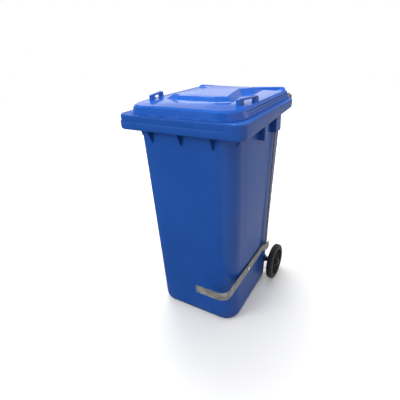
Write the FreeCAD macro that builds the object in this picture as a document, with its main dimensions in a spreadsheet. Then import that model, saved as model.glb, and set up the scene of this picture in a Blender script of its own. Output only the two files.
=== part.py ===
import FreeCAD, Part
import math
import os
import re
import Sketcher

# Two-wheeled refuse bin with a foot pedal. Millimetres, +Z up, front towards -Y.
# The origin is the middle of the flat underside of the tub, on the ground.

SIZES = [
    # tub
    ("base_width", 434, "width of the tub at the ground"),
    ("base_depth", 430, "depth of the tub at the ground"),
    ("rim_top", 1010, "height of the rim's upper face"),
    ("side_flare", 18, "how far each side leans out up to the rim"),
    ("front_flare", 4, "how far the front leans out up to the rim"),
    ("rear_flare", 129, "how far the rear leans out up to the rim"),
    ("front_corner", 78, "plan radius of the front corners"),
    ("rear_corner", 45, "plan radius of the rear corners"),
    ("tub_wall", 4, "wall of the tub"),
    ("tub_floor", 5, "floor of the tub"),
    ("foot_bevel", 22, "bevel between the floor and the walls"),
    ("panel_recess", 2, "how deep the side panels are recessed"),
    ("panel_low", 285, "height of a side panel's lower edge"),
    ("panel_foot_back", 125, "distance of a panel's rear edge from the base's rear, at its foot"),
    ("panel_head_back", 12, "distance of a panel's rear edge from the base's rear, at its head"),
    # rim
    ("rim_width", 580, "overall width of the rim"),
    ("rim_lead", 45, "how far the rim stands out in front of the base"),
    ("rim_tail", 137, "how far the rim stands out behind the base"),
    ("rim_height", 60, "depth of the rim's apron at the front"),
    ("rim_rise", 26, "how much shorter the apron gets towards the rear"),
    ("rim_wall", 4, "thickness of the rim's deck and apron"),
    ("rim_front_corner", 40, "plan radius of the rim's front corners"),
    ("rim_rear_corner", 72, "plan radius of the rim's rear corners"),
    ("gusset_drop", 57, "how far the gussets reach below the rim"),
    ("gusset_pitch", 145, "spacing of the front gussets"),
    ("gusset_thick", 4, "thickness of a moulded rib or gusset"),
    ("first_pillar", 228, "distance of the front pillar behind the base's front"),
    ("first_pillar_run", 40, "length of the front pillar along the wall"),
    ("second_pillar", 373, "distance of the rear pillar behind the base's front"),
    ("second_pillar_run", 64, "length of the rear pillar along the wall"),
    ("pillar_depth", 31, "how far the side pillars stand out of the wall"),
    ("pillar_drop", 68, "how far the side pillars reach below the rim"),
    # hinge and hand grips
    ("hinge_back", 185, "distance of the hinge line behind the base"),
    ("hinge_below", 7, "distance of the hinge line below the rim's top"),
    ("lug_radius", 18, "radius of a hinge lug's nose"),
    ("lug_thick", 8, "thickness of a hinge lug"),
    ("lug_drop", 42, "height of a hinge lug's root"),
    ("lug_inner", 52, "distance of the innermost lug from the middle"),
    ("lug_gap", 40, "space between the two lugs of a hinge"),
    ("knuckle_play", 2, "gap between a lid knuckle and the lugs beside it"),
    ("grip_length", 126, "length of a hand grip between its lugs"),
    ("grip_radius", 14, "radius of a hand grip"),
    ("grip_bore", 9.5, "radius of the hollow in a hand grip"),
    ("pin_radius", 6, "radius of a hinge pin"),
    ("pin_head", 4, "how far a pin's head stands out round the pin"),
    ("pin_head_thick", 5, "thickness of a pin's head"),
    ("pin_play", 0.08, "radial running clearance of pins and bushes"),
    # lid
    ("lid_side_inset", 27, "how far the lid stands inside the rim's edge at the sides"),
    ("lid_front_inset", 14, "how far the lid stands inside the rim's edge at the front"),
    ("lid_gap", 0.4, "gap between the lid's skirt and the rim"),
    ("lid_wall", 3.5, "wall of the lid"),
    ("lid_skirt", 32, "height of the lid's skirt"),
    ("lid_draft", 9, "how far the skirt leans in"),
    ("lid_front_corner", 95, "plan radius of the lid's front corners"),
    ("lid_rear_corner", 35, "plan radius of the lid's rear corners"),
    ("lid_rear", 137, "how far the lid's rear edge is behind the base"),
    ("lid_crown", 6, "rise of the lid's top from its edge to the dome"),
    ("dome_rise", 22, "height of the dome above the lid's top"),
    ("dome_half", 166, "half width of the dome's foot"),
    ("dome_front", 100, "distance of the dome's foot from the base's front"),
    ("dome_rear", 35, "distance of the dome's foot behind the base"),
    ("dome_slope", 34, "how far the dome's sides lean in"),
    ("dome_corner", 60, "plan radius of the dome's corners"),
    ("ridge_rise", 17, "height of the rear ridge above the skirt"),
    ("ridge_thick", 20, "thickness of the rear ridge"),
    ("ridge_half", 236, "half length of the rear ridge"),
    ("catch_rise", 28, "height of a lid grip above the lid"),
    ("catch_span", 105, "distance between the posts of a lid grip"),
    ("catch_thick", 15, "thickness of a lid grip"),
    ("catch_bar", 12, "height of the bar of a lid grip"),
    ("catch_inset", 79, "distance of a lid grip's front post inside the rim's edge"),
    ("catch_back", 134, "distance of a lid grip's front post behind the rim's front"),
    ("catch_turn", 75, "angle between a lid grip and the lid's front edge"),
    # wheels and axle
    ("wheel_radius", 100, "outer radius of a tyre"),
    ("wheel_width", 35, "width of a wheel"),
    ("wheel_gap", 28.5, "distance of a wheel's inner face from the base's side"),
    ("tyre_depth", 20, "radial thickness of a tyre"),
    ("tyre_round", 8, "round of a tyre's shoulders"),
    ("hub_radius", 20, "radius of a wheel's hub"),
    ("web_thick", 6, "thickness of a wheel's web"),
    ("hub_rim", 5, "thickness of the wheel's inner rim"),
    ("axle_radius", 10, "radius of the axle"),
    ("axle_back", 25, "distance of the axle behind the base"),
    ("axle_lug", 22, "radius of an axle lug's nose"),
    ("axle_lug_width", 20, "width of an axle lug"),
    ("axle_lug_side", 32, "distance of an outer axle lug inside the base's edge"),
    ("axle_lug_middle", 60, "distance of an inner axle lug from the middle"),
    ("sleeve_radius", 14, "outer radius of an axle sleeve"),
    ("washer_thick", 1.5, "thickness of the axle washers"),
    # pedal
    ("pedal_level", 258, "height of the pedal bar's middle"),
    ("pedal_pivot", 145, "distance of the pedal pivot behind the base's front"),
    ("pedal_reach", 91, "how far the pedal stands in front of the base"),
    ("bar_thick", 5, "thickness of the pedal bar"),
    ("bar_tall", 38, "height of the pedal bar"),
    ("bar_bend", 42, "inner radius of the bar's bend"),
    ("bar_start", 76, "distance of the bar's free end from the middle"),
    ("bar_stand", 11, "gap between the side of the base and the bar"),
    ("bar_joggle", 15, "outward step near the bar's rear end"),
    ("bolt_radius", 5, "radius of the pivot bolt"),
    ("bush_radius", 9, "radius of the pivot bush"),
    # lifting rod and lever
    ("rod_radius", 5, "radius of the lifting rod"),
    ("rod_pin_back", 230, "distance of the rod's pin behind the pedal pivot"),
    ("rod_pin_radius", 4, "radius of the rod's pin"),
    ("rod_foot", 17, "gap from the side of the base to the rod's foot"),
    ("rod_lean_out", 11.5, "how far the rod leans outwards"),
    ("rod_lean_back", 56, "how far the rod leans to the rear"),
    ("rod_below", 11, "distance of the rod's end below the rim's top"),
    ("slot_wide", 20, "width of the rod's slot in the rim"),
    ("slot_long", 46, "length of the rod's slot in the rim"),
    ("slot_front", 20, "how far the slot reaches in front of the rod's end"),
    ("tail_run", 13, "how far the bar goes on behind the rod's pin"),
    ("step_lead", 42, "where the bar's outward step starts, in front of the rod's pin"),
    ("step_run", 24, "length of the bar's outward step"),
    ("lever_thick", 5, "thickness of the lifting lever"),
    ("lever_tall", 15, "height of the lifting lever"),
    ("notch_play", 6, "gap between the lever and the sides of its notch in the lid"),
    ("lever_gap", 2, "gap between the rim and the lifting lever"),
]

doc = FreeCAD.newDocument("wheelie_bin")
sheet = doc.addObject("Spreadsheet::Sheet", "Sizes")
for row, (alias, size, words) in enumerate(SIZES, start=1):
    sheet.set(f"A{row}", alias)
    sheet.set(f"B{row}", str(size))
    sheet.set(f"C{row}", words)
    sheet.setAlias(f"B{row}", alias)
doc.recompute()
ALIASES = {alias for alias, size, words in SIZES}
NODES = []


def size_of(alias):
    return float(sheet.get(alias))


def linked(formula):
    """The formula with each size's name pointing at its cell."""
    return re.sub(r"[a-z_]+", lambda m: "Sizes." + m[0] if m[0] in ALIASES else m[0], formula)


def bind(thing, **formulas):
    for prop, formula in formulas.items():
        thing.setExpression(prop.replace("__", "."), linked(str(formula)))
    return thing


def place(thing, x, y, z):
    return bind(thing, Placement__Base__x=x, Placement__Base__y=y, Placement__Base__z=z)


TURN_X = FreeCAD.Rotation(FreeCAD.Vector(0, 1, 0), 90)
STAND_UP = FreeCAD.Rotation(FreeCAD.Vector(1, 0, 0), 90)


def box(x, y, z, length, width, height):
    made = doc.addObject("Part::Box", "block")
    bind(made, Length=length, Width=width, Height=height)
    return place(made, x, y, z)


def rod_x(x, y, z, radius, length):
    """A cylinder along +X that starts at x."""
    made = doc.addObject("Part::Cylinder", "round")
    made.Placement = FreeCAD.Placement(FreeCAD.Vector(), TURN_X)
    bind(made, Radius=radius, Height=length)
    return place(made, x, y, z)


def cone_x(x, y, z, start_radius, end_radius, length):
    made = doc.addObject("Part::Cone", "cone")
    made.Placement = FreeCAD.Placement(FreeCAD.Vector(), TURN_X)
    bind(made, Radius1=start_radius, Radius2=end_radius, Height=length)
    return place(made, x, y, z)


def post_z(x, y, z, radius, length):
    made = doc.addObject("Part::Cylinder", "post")
    bind(made, Radius=radius, Height=length)
    return place(made, x, y, z)


def wedge(low, high, x_low, x_high, y_low, y_high):
    """A block from height low to high; each of its four sides may lean.
    x_low and y_low are (least, most) at the bottom, x_high and y_high at the top."""
    made = doc.addObject("Part::Wedge", "wedge")
    made.Placement = FreeCAD.Placement(FreeCAD.Vector(), STAND_UP)
    names = ("Xmin", "Xmax", "X2min", "X2max", "Zmin", "Zmax", "Z2min", "Z2max", "Ymin", "Ymax")
    values = (x_low[0], x_low[1], x_high[0], x_high[1],
              f"-({y_low[1]})", f"-({y_low[0]})", f"-({y_high[1]})", f"-({y_high[0]})", low, high)
    return bind(made, **dict(zip(names, values)))


def fuse(*pieces):
    made = doc.addObject("Part::MultiFuse", "joined")
    made.Shapes = list(pieces)
    made.Refine = True
    return made


def cut(base, *tools):
    made = doc.addObject("Part::Cut", "cut")
    made.Base = base
    made.Tool = tools[0] if len(tools) == 1 else fuse(*tools)
    made.Refine = True
    return made


def mirrored(source):
    """The same piece on the other side of the middle plane."""
    made = doc.addObject("Part::Mirroring", "mirrored")
    made.Source = source
    made.Normal = FreeCAD.Vector(1, 0, 0)
    return made


def both(source):
    return [source, mirrored(source)]


def group(*pieces):
    """Separate solids kept in one node."""
    made = doc.addObject("Part::Compound", "set")
    made.Links = list(pieces)
    return made


def node(made, name):
    made.Label = name
    NODES.append(made)
    return made


def outline(body, name, level, half, front, rear, front_round, rear_round):
    """A rounded rectangle at a height: half width, reach to the front and to the rear, two radii."""
    sketch = body.newObject("Sketcher::SketchObject", name)
    plane = [f for f in body.Origin.OriginFeatures if f.Role == "XY_Plane"][0]
    sketch.AttachmentSupport = [(plane, "")]
    sketch.MapMode = "FlatFace"
    bind(sketch, AttachmentOffset__Base__z=level)
    w, r, q = 200.0, 200.0, 40.0
    corners = [(w - q, -r + q, -90), (w - q, r - q, 0), (-w + q, r - q, 90), (-w + q, -r + q, 180)]
    ends = [((-w + q, -r), (w - q, -r)), ((w, -r + q), (w, r - q)),
            ((w - q, r), (-w + q, r)), ((-w, r - q), (-w, -r + q))]
    for (a, b), (cx, cy, turn) in zip(ends, corners):
        sketch.addGeometry(Part.LineSegment(FreeCAD.Vector(*a), FreeCAD.Vector(*b)))
        circle = Part.Circle(FreeCAD.Vector(cx, cy, 0), FreeCAD.Vector(0, 0, 1), q)
        sketch.addGeometry(Part.ArcOfCircle(circle, math.radians(turn), math.radians(turn + 90)))
    for n in range(4):
        line, arc, following = 2 * n, 2 * n + 1, (2 * n + 2) % 8
        sketch.addConstraint(Sketcher.Constraint("Tangent", line, 2, arc, 1))
        sketch.addConstraint(Sketcher.Constraint("Tangent", arc, 2, following, 1))
    for level_line, upright_line in ((0, 2), (4, 6)):
        sketch.addConstraint(Sketcher.Constraint("Horizontal", level_line))
        sketch.addConstraint(Sketcher.Constraint("Vertical", upright_line))
    sketch.addConstraint(Sketcher.Constraint("Equal", 1, 7))
    sketch.addConstraint(Sketcher.Constraint("Equal", 3, 5))
    sizes = [
        ("half_right", Sketcher.Constraint("DistanceX", -1, 1, 2, 1, w), half),
        ("half_left", Sketcher.Constraint("DistanceX", 6, 1, -1, 1, w), half),
        ("front", Sketcher.Constraint("DistanceY", 0, 1, -1, 1, r), front),
        ("rear", Sketcher.Constraint("DistanceY", -1, 1, 4, 1, r), rear),
        ("front_round", Sketcher.Constraint("Radius", 1, q), front_round),
        ("rear_round", Sketcher.Constraint("Radius", 3, q), rear_round),
    ]
    for label, constraint, formula in sizes:
        index = sketch.addConstraint(constraint)
        sketch.renameConstraint(index, label)
        sketch.setExpression("Constraints." + label, linked(formula))
    return sketch


def lofted(name, *outlines):
    """A body drawn through rounded outlines, given from the lowest to the highest."""
    body = doc.addObject("PartDesign::Body", name)
    sketches = [outline(body, f"{name}_{n}", *sizes) for n, sizes in enumerate(outlines)]
    loft = body.newObject("PartDesign::AdditiveLoft", name + "_loft")
    loft.Profile = sketches[0]
    loft.Sections = sketches[1:]
    loft.Ruled = True
    body.Tip = loft
    return body


HALF = "(base_width / 2)"
FRONT = "(base_depth / 2)"
SIDE_LEAN = "side_flare / rim_top"
RIM_LOW = "(rim_top - rim_height)"
RIM_FRONT = f"({FRONT} + rim_lead)"
RIM_REAR = f"({FRONT} + rim_tail)"
HINGE_Y = f"({FRONT} + hinge_back)"
HINGE_Z = "(rim_top - hinge_below)"
AXLE_Y = f"({FRONT} + axle_back)"
PIVOT_Y = f"(pedal_pivot - {FRONT})"
BAR_X = f"({HALF} + bar_stand)"
WHEEL_X = f"({HALF} + wheel_gap)"
OUTER_LUG = "(lug_inner + lug_thick + lug_gap + lug_thick + grip_length)"


def tub_outlines(inset, floor):
    """The tub's outline at the ground, above its bevelled foot and at the rim, drawn in by inset."""
    def at(level, bevel):
        share = f"({level}) / rim_top"
        return (level, f"{HALF} + side_flare * {share} - {inset} - {bevel}",
                f"{FRONT} + front_flare * {share} - {inset} - {bevel}",
                f"{FRONT} + rear_flare * {share} - {inset} - {bevel}",
                f"front_corner - {inset} - {bevel}", f"rear_corner - {inset} - {bevel}")
    return at(floor, "foot_bevel"), at(f"{floor} + foot_bevel", "0"), at("rim_top", "0")


def make_rim():
    outer = lofted("rim_outer",
                   (RIM_LOW, "rim_width / 2", RIM_FRONT, RIM_REAR, "rim_front_corner", "rim_rear_corner"),
                   ("rim_top", "rim_width / 2", RIM_FRONT, RIM_REAR, "rim_front_corner", "rim_rear_corner"))
    inset = "rim_wall"
    inner = ("rim_width / 2 - rim_wall", f"{RIM_FRONT} - {inset}", f"{RIM_REAR} - {inset}",
             f"rim_front_corner - {inset}", f"rim_rear_corner - {inset}")
    hollow = lofted("rim_hollow", (f"{RIM_LOW} - 1", *inner), ("rim_top - rim_wall", *inner))
    side_low = f"{RIM_LOW} + rim_rise"
    trim = wedge(f"{RIM_LOW} - 2", side_low,
                 ("-rim_width", "rim_width"), ("-rim_width", "rim_width"),
                 (f"-{FRONT}", f"{RIM_REAR} + 10"), (f"{RIM_REAR}", f"{RIM_REAR} + 10"))
    return cut(outer, hollow, trim)


def make_gusset(x):
    """A triangular rib between the front wall and the apron."""
    wall = f"-({FRONT} - 1)"
    return wedge(f"{RIM_LOW} - gusset_drop", "rim_top - 1",
                 (f"{x} - gusset_thick / 2", f"{x} + gusset_thick / 2"),
                 (f"{x} - gusset_thick / 2", f"{x} + gusset_thick / 2"),
                 (f"{wall} - 2", wall), (f"{wall} - rim_lead + 3", wall))


def make_gussets():
    limit = box("-rim_width", f"-{RIM_FRONT} + 1", "0", "2 * rim_width", FRONT, "2 * rim_top")
    plates = [make_gusset(x) for x in ("-gusset_pitch", "0", "gusset_pitch")]
    common = doc.addObject("Part::MultiCommon", "gussets")
    common.Shapes = [fuse(*plates), limit]
    return common


def make_pillar(front, run, open_rear):
    """A hollow pillar under the side of the rim, open at the bottom."""
    low = "(rim_top - rim_height - pillar_drop)"
    wall = f"({HALF} + side_flare * 0.8)"
    outer = box(f"{wall} - 6", front, low, "pillar_depth + 10", run, f"rim_top - 1 - {low}")
    back = "10" if open_rear else "-gusset_thick"
    inner = box(f"{wall} - 8", f"{front} + gusset_thick", f"{low} - 1",
                "pillar_depth + 12 - gusset_thick",
                f"{run} - gusset_thick + {back}", "rim_height + pillar_drop - rim_wall")
    return cut(outer, inner)


def make_side_recess():
    """A block that hollows the shallow panel out of the tub's right side."""
    top = "(rim_top - rim_height / 2)"
    floor_x = f"{HALF} + {SIDE_LEAN} * %s - panel_recess"
    clear_x = "rim_width / 2"
    front = f"front_corner - {FRONT}"
    return wedge("panel_low", top, (floor_x % "panel_low", clear_x), (floor_x % top, clear_x),
                 (front, f"{FRONT} - panel_foot_back"), (front, f"{FRONT} - panel_head_back"))


def make_lug(x):
    """A hinge lug behind the rim: a leaning plate with a round nose."""
    plate = wedge(f"{HINGE_Z} - lug_drop", HINGE_Z,
                  (x, f"{x} + lug_thick"), (x, f"{x} + lug_thick"),
                  (f"{FRONT} + rear_flare * 0.8", f"{RIM_REAR} - 1"), (f"{FRONT} + rear_flare * 0.8", HINGE_Y))
    nose = rod_x(x, HINGE_Y, HINGE_Z, "lug_radius", "lug_thick")
    return fuse(plate, nose)


def make_axle_lug(x, width):
    nose = rod_x(x, AXLE_Y, "wheel_radius", "axle_lug", width)
    block = box(x, f"{FRONT} - 12", "wheel_radius - axle_lug", width, "axle_back + 12", "2 * axle_lug")
    return fuse(block, nose)


def make_body_shell():
    tub = lofted("tub_outer", *tub_outlines("0", "0"))
    cavity = lofted("tub_cavity", *tub_outlines("tub_wall", "tub_floor"))
    second_lug = "lug_inner + lug_thick + lug_gap"
    lugs = [make_lug(x) for x in ("lug_inner", second_lug, OUTER_LUG)]
    grip = rod_x(f"{second_lug} + lug_thick", HINGE_Y, HINGE_Z, "grip_radius", "grip_length")
    axle_lugs = [make_axle_lug(f"{HALF} - axle_lug_side", "axle_lug_width"),
                 make_axle_lug("axle_lug_middle", "axle_lug_width")]
    pillars = [make_pillar(f"first_pillar - {FRONT}", "first_pillar_run", False),
               make_pillar(f"second_pillar - {FRONT}", "second_pillar_run", True)]
    right_side = [*lugs, grip, *axle_lugs, *pillars]
    sides = [piece for source in right_side for piece in both(source)]
    panelled = cut(tub, *both(make_side_recess()))
    solid = fuse(panelled, make_rim(), make_gussets(), *sides)
    pin_bore = rod_x("-rim_width / 2", HINGE_Y, HINGE_Z, "pin_radius + pin_play", "rim_width")
    grip_bore = rod_x(f"{second_lug} + lug_thick", HINGE_Y, HINGE_Z, "grip_bore", "grip_length")
    axle_bore = rod_x("-rim_width / 2", AXLE_Y, "wheel_radius", "axle_radius + 0.2", "rim_width")
    bolt_hole = rod_x(f"{HALF} - 20", PIVOT_Y, "pedal_level", "bolt_radius + 0.3", "60")
    rod_slot = box(f"{ROD_TOP_X} - slot_wide / 2", f"{ROD_TOP_Y} - slot_front", "rim_top - 2 * rim_wall",
                   "slot_wide", "slot_long", "4 * rim_wall")
    shell = cut(solid, cavity, pin_bore, *both(grip_bore), axle_bore, bolt_hole, rod_slot)
    return node(shell, "body_shell")


ROD_FOOT_X = f"({HALF} + rod_foot)"
ROD_FOOT_Y = f"({PIVOT_Y} + rod_pin_back)"
ROD_TOP_X = f"({ROD_FOOT_X} + rod_lean_out)"
ROD_TOP_Y = f"({ROD_FOOT_Y} + rod_lean_back)"


def lid_solids(prefix, inset, bottom):
    """The lid's skirt, crown, dome and rear ridge, each drawn in by inset."""
    half, front = "rim_width / 2 - lid_side_inset", f"{RIM_FRONT} - lid_front_inset"
    rear = f"{FRONT} + lid_rear"
    top = f"rim_top + lid_gap + lid_skirt - {inset}"
    corners = f"lid_front_corner - {inset}", f"lid_rear_corner - {inset}"
    skirt = lofted(prefix + "_skirt",
                   (bottom, f"{half} - {inset}", f"{front} - {inset}", f"{rear} - {inset}", *corners),
                   (top, f"{half} - lid_draft - {inset}", f"{front} - lid_draft - {inset}",
                    f"{rear} - {inset}", *corners))
    crown_top = f"{top} + lid_crown"
    dome_front = f"{FRONT} - dome_front"
    dome_rear = f"{FRONT} + dome_rear"
    crown = lofted(prefix + "_crown",
                   (f"{top} - 0.5", f"{half} - lid_draft - {inset} - 2", f"{front} - lid_draft - {inset} - 2",
                    f"{rear} - {inset} - 40", *corners),
                   (crown_top, f"dome_half + 12 - {inset}", f"{dome_front} + 12 - {inset}",
                    f"{dome_rear} + 12 - {inset}", "dome_corner", "dome_corner"))
    dome = lofted(prefix + "_dome",
                  (f"{crown_top} - 0.5", f"dome_half - {inset}", f"{dome_front} - {inset}",
                   f"{dome_rear} - {inset}", "dome_corner", "dome_corner"),
                  (f"{crown_top} + dome_rise", f"dome_half - dome_slope - {inset}",
                   f"{dome_front} - dome_slope - {inset}", f"{dome_rear} - dome_slope - {inset}",
                   "dome_corner", "dome_corner"))
    ridge = wedge(f"{top} - 4", f"{top} + ridge_rise",
                  (f"-(ridge_half - {inset})", f"ridge_half - {inset}"),
                  (f"-(ridge_half - 12 - {inset})", f"ridge_half - 12 - {inset}"),
                  (f"{rear} - ridge_thick - 12 + {inset}", f"{rear} - {inset}"),
                  (f"{rear} - ridge_thick + {inset}", f"{rear} - {inset}"))
    return fuse(skirt, crown, dome, ridge)


def make_catch():
    """A hand grip moulded across a front corner of the lid: two posts and a bar."""
    base = "rim_top + lid_gap + lid_skirt - 3"
    grip = box("0", "0", "0", "catch_span + catch_thick", "catch_thick", "catch_rise + 3")
    gap = box("catch_thick", "-1", "6", "catch_span - catch_thick", "catch_thick + 2",
              "catch_rise - 3 - catch_bar")
    made = cut(grip, gap)
    upright = FreeCAD.Vector(0, 0, 1)
    made.Placement = FreeCAD.Placement(FreeCAD.Vector(), FreeCAD.Rotation(upright, size_of("catch_turn")))
    return place(made, "rim_width / 2 - catch_inset", f"-{RIM_FRONT} + catch_back", base)


def make_lid_shell():
    bottom = "rim_top + lid_gap"
    outer = lid_solids("lid", "0", bottom)
    inner = lid_solids("lid_hollow", "lid_wall", f"{bottom} - 1")
    arm_x = "lug_inner + lug_thick + knuckle_play"
    arm_wide = "lug_gap - 2 * knuckle_play"
    arm_low = "(rim_top + 1.2)"
    arm = box(arm_x, f"{FRONT} + lid_rear - 1", arm_low, arm_wide, "hinge_back - lid_rear + 1",
              f"{HINGE_Z} + 22 - {arm_low}")
    knuckle = rod_x(arm_x, HINGE_Y, HINGE_Z, "lug_radius - 1", arm_wide)
    solid = fuse(cut(outer, inner), *both(fuse(arm, knuckle)), *both(make_catch()))
    bore = rod_x("-rim_width / 2", HINGE_Y, HINGE_Z, "pin_radius + pin_play", "rim_width")
    notch = box(f"{ROD_TOP_X} - lever_thick / 2 - notch_play", f"{FRONT} + lid_rear - 2 * ridge_thick",
                f"{bottom} - 2", "lever_thick + 2 * notch_play", "3 * ridge_thick", "lever_tall + lever_gap + 4.5")
    return node(cut(solid, bore, notch), "lid_shell")


def make_hinge_pins():
    for side in ("right", "left"):
        shank = rod_x("lug_inner - 2", HINGE_Y, HINGE_Z, "pin_radius", "2 * lug_thick + lug_gap + 6")
        head = rod_x("lug_inner - pin_head_thick - 1", HINGE_Y, HINGE_Z, "pin_radius + pin_head", "pin_head_thick")
        pin = fuse(shank, head)
        node(pin if side == "right" else mirrored(pin), "hinge_pin_" + side)


def make_axle_set():
    axle_half = f"({WHEEL_X} + wheel_width + 4)"
    node(rod_x(f"-{axle_half}", AXLE_Y, "wheel_radius", "axle_radius", f"2 * {axle_half}"), "axle")
    lug_face = f"({HALF} - axle_lug_side + axle_lug_width)"
    sleeve_end = f"({WHEEL_X} - washer_thick - 0.6)"
    bore = "axle_radius + pin_play"

    def ring(x, radius, length):
        tube = rod_x(x, AXLE_Y, "wheel_radius", radius, length)
        hole = rod_x(f"{x} - 1", AXLE_Y, "wheel_radius", bore, f"{length} + 2")
        return cut(tube, hole)

    inner = ring(f"{sleeve_end} + 0.2", "hub_radius - 3", "washer_thick")
    outer = ring(f"{WHEEL_X} + wheel_width + 0.3", "hub_radius - 3", "washer_thick")
    node(group(*both(inner), *both(outer)), "axle_washers")
    sleeve = ring(f"{lug_face} + 0.2", "sleeve_radius", f"{sleeve_end} - {lug_face} - 0.2")
    cap_x = f"{WHEEL_X} + wheel_width + washer_thick + 0.5"
    cap_body = rod_x(cap_x, AXLE_Y, "wheel_radius", "axle_radius + 5", "6")
    cap_pocket = rod_x(f"{cap_x} - 1", AXLE_Y, "wheel_radius", "axle_radius", "3")
    cap = cut(cap_body, cap_pocket)
    for side, pick in (("right", lambda piece: piece), ("left", mirrored)):
        node(pick(sleeve), "axle_sleeve_" + side)
        node(pick(cap), "axle_cap_" + side)


def make_wheel():
    """A rubber tyre on a moulded wheel with a recessed, ribbed web."""
    x = WHEEL_X
    seat = "(wheel_radius - tyre_depth)"
    tread = rod_x(f"{x} + tyre_round", AXLE_Y, "wheel_radius", "wheel_radius", "wheel_width - 2 * tyre_round")
    shoulders = [cone_x(x, AXLE_Y, "wheel_radius", "wheel_radius - tyre_round", "wheel_radius", "tyre_round"),
                 cone_x(f"{x} + wheel_width - tyre_round", AXLE_Y, "wheel_radius", "wheel_radius",
                        "wheel_radius - tyre_round", "tyre_round")]
    tyre = cut(fuse(tread, *shoulders), rod_x(f"{x} - 1", AXLE_Y, "wheel_radius", seat, "wheel_width + 2"))
    rim = cut(rod_x(f"{x} + 1", AXLE_Y, "wheel_radius", seat, "wheel_width - 2"),
              rod_x(x, AXLE_Y, "wheel_radius", f"{seat} - hub_rim", "wheel_width"))
    web = rod_x(f"{x} + wheel_width / 2 - web_thick", AXLE_Y, "wheel_radius", f"{seat} - 1", "web_thick")
    hub = rod_x(x, AXLE_Y, "wheel_radius", "hub_radius", "wheel_width")
    bore = rod_x(f"{x} - 1", AXLE_Y, "wheel_radius", "axle_radius + pin_play", "wheel_width + 2")
    wheel = cut(fuse(rim, web, hub), bore)
    for side, pick in (("right", lambda piece: piece), ("left", mirrored)):
        node(pick(tyre), "tyre_" + side)
        node(pick(wheel), "wheel_" + side)


def make_pedal_bar():
    """A flat bar in an L round the corner of the tub, with a step outwards at its rear end."""
    low = "(pedal_level - bar_tall / 2)"
    front_y = f"(-{FRONT} - pedal_reach)"
    reach = "(bar_bend + bar_thick)"
    bend_x = f"({BAR_X} - bar_bend)"
    bend_y = f"({front_y} + {reach})"
    front = box("bar_start", front_y, low, f"{bend_x} - bar_start", "bar_thick", "bar_tall")
    ring = cut(post_z(bend_x, bend_y, low, reach, "bar_tall"),
               post_z(bend_x, bend_y, f"{low} - 1", "bar_bend", "bar_tall + 2"))
    quarter = doc.addObject("Part::Common", "bend")
    quarter.Base = ring
    quarter.Tool = box(bend_x, f"{bend_y} - {reach}", low, reach, reach, "bar_tall")
    step_y = f"({ROD_FOOT_Y} - step_lead)"
    step_end = f"({step_y} + step_run)"
    side = box(BAR_X, bend_y, low, "bar_thick", f"{step_y} - {bend_y}", "bar_tall")
    joggle = step_block(BAR_X, step_y, step_end, low)
    tail = box(f"{BAR_X} + bar_joggle", step_end, low, "bar_thick",
               f"{ROD_FOOT_Y} + tail_run - {step_end}", "bar_tall")
    bar = fuse(front, quarter, side, joggle, tail)
    pivot_hole = rod_x(f"{BAR_X} - 5", PIVOT_Y, "pedal_level", "bush_radius + pin_play", "20")
    pin_hole = rod_x(BAR_X, ROD_FOOT_Y, "pedal_level", "rod_pin_radius + pin_play", "bar_joggle + 2 * bar_thick")
    return node(cut(bar, pivot_hole, pin_hole), "pedal_bar")


def step_block(x, start, end, low):
    """The slanting piece that joins the bar's side run to its stepped tail."""
    made = doc.addObject("Part::Wedge", "step")
    names = ("Xmin", "Xmax", "X2min", "X2max", "Zmin", "Zmax", "Z2min", "Z2max", "Ymin", "Ymax")
    values = (x, f"{x} + bar_thick", f"{x} + bar_joggle", f"{x} + bar_joggle + bar_thick",
              low, f"{low} + bar_tall", low, f"{low} + bar_tall", start, end)
    return bind(made, **dict(zip(names, values)))


def make_pivot_set():
    """The bolt through the tub's side that the pedal bar turns on, with its bush, washer and nut."""
    outside = f"({HALF} + {SIDE_LEAN} * pedal_level + 0.6)"
    inside = f"({HALF} + {SIDE_LEAN} * (pedal_level - 20) - tub_wall - 0.4)"
    bush = cut(fuse(rod_x(outside, PIVOT_Y, "pedal_level", "bush_radius", f"{BAR_X} + bar_thick + 0.4 - {outside}"),
                    rod_x(outside, PIVOT_Y, "pedal_level", "bush_radius + 4", f"{BAR_X} - 0.4 - {outside}")),
               rod_x(f"{outside} - 1", PIVOT_Y, "pedal_level", "bolt_radius + 0.05", "40"))
    node(bush, "pivot_bush")
    head_x = f"({BAR_X} + bar_thick + 0.5)"
    head = rod_x(head_x, PIVOT_Y, "pedal_level", "bush_radius + 2", "2")
    dome = cone_x(f"{head_x} + 2", PIVOT_Y, "pedal_level", "bush_radius", "bolt_radius", "3")
    shank = rod_x(f"{inside} - 14", PIVOT_Y, "pedal_level", "bolt_radius", f"{head_x} - {inside} + 15")
    node(fuse(head, dome, shank), "pivot_bolt")
    washer = cut(rod_x(f"{inside} - 2", PIVOT_Y, "pedal_level", "14", "2"),
                 rod_x(f"{inside} - 3", PIVOT_Y, "pedal_level", "bolt_radius + 0.2", "4"))
    node(washer, "pivot_washer")
    nut = doc.addObject("Part::Prism", "nut_blank")
    nut.Polygon = 6
    nut.Placement = FreeCAD.Placement(FreeCAD.Vector(), TURN_X)
    bind(nut, Circumradius="9.2", Height="7")
    place(nut, f"{inside} - 9.2", PIVOT_Y, "pedal_level")
    node(cut(nut, rod_x(f"{inside} - 12", PIVOT_Y, "pedal_level", "bolt_radius + 0.01", "12")), "pivot_nut")


def point(x, y, z):
    return FreeCAD.Vector(x, y, z)


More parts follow.
